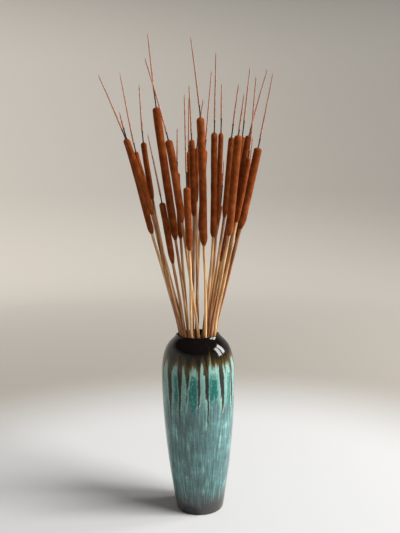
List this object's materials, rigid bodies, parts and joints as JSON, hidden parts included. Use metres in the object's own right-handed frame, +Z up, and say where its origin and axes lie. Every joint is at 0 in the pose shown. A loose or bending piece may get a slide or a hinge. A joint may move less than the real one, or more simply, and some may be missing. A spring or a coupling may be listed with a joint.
{
  "type": "cattail stems in a vase",
  "caption": "Bunch of dried cattail stems with slim brown seed heads and long dry spikes, standing in a tall glazed stoneware vase.",
  "frame": {"origin": "centre of the vase's flat foot, on the surface that it stands on", "axes": "+Z up along the vase's axis, -Y towards the front of the bunch, +X to the right seen from the front"},
  "size_m": [0.2772, 0.1776, 0.785],
  "materials": {
    "running_glaze": "glossy blue-green running glaze under a black-brown shoulder",
    "dried_cattail": "dry, matte and velvety",
    "straw_stalk": "dry straw with a low sheen",
    "seed_head_velvet": "velvety matte plant down"
  },
  "bodies": {
    "root": {"vase": "running_glaze", "cattail_01": "dried_cattail", "cattail_02": "dried_cattail", "cattail_03": "dried_cattail", "cattail_04": "dried_cattail", "cattail_05": "dried_cattail", "cattail_06": "dried_cattail", "cattail_07": "dried_cattail", "cattail_08": "dried_cattail", "cattail_09": "dried_cattail", "cattail_10": "dried_cattail", "cattail_11": "dried_cattail", "cattail_12": "dried_cattail", "cattail_13": "dried_cattail", "cattail_14": "dried_cattail", "cattail_15": "dried_cattail", "cattail_16": "dried_cattail", "cattail_17": "dried_cattail", "cattail_18": "dried_cattail", "cattail_19": "dried_cattail", "cattail_20": "dried_cattail", "cattail_21": "dried_cattail", "cattail_22": "dried_cattail", "cattail_23": "dried_cattail", "cattail_24": "dried_cattail", "cattail_25": "dried_cattail", "cattail_26": "dried_cattail"}
  },
  "joints": []
}
